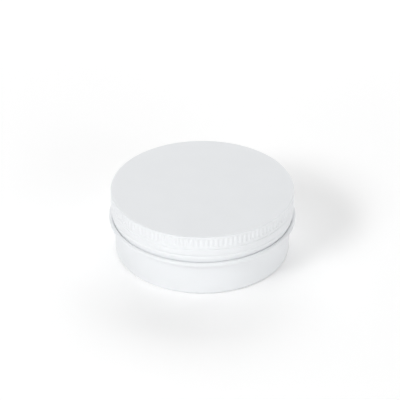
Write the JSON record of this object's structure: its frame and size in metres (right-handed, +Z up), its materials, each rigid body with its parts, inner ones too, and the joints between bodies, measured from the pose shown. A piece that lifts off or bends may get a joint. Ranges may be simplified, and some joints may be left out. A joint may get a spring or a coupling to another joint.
{
  "type": "screw-top tin",
  "caption": "Low round aluminium tin with a knurled screw lid, foam liner, threaded neck, curled rim and white lacquer, closed.",
  "frame": {"origin": "middle of the can's underside, on the table that the tin stands on", "axes": "+Z up along the tin's own axis; X and Y are level and alike, because the tin is round"},
  "size_m": [0.0678, 0.0678, 0.0249],
  "materials": {
    "can_lacquer": "satin",
    "lid_lacquer": "satin",
    "liner_foam": "matte"
  },
  "bodies": {
    "can": {"can": "can_lacquer"},
    "liner": {"liner": "liner_foam"},
    "lid": {"lid": "lid_lacquer"}
  },
  "joints": [
    {"name": "lid_lift", "type": "slide", "parent": "can", "child": "liner", "axis": [0, 0, 1], "range_m": [0, 0.012]},
    {"name": "lid_turn", "type": "hinge", "parent": "liner", "child": "lid", "pos_m": [0, 0, 0.0145], "axis": [0, 0, 1], "range_deg": [0, 1440]}
  ],
  "couplings": [
    {"joint": "lid_lift", "follows": "lid_turn", "m_per_rad": 0.00047746}
  ]
}
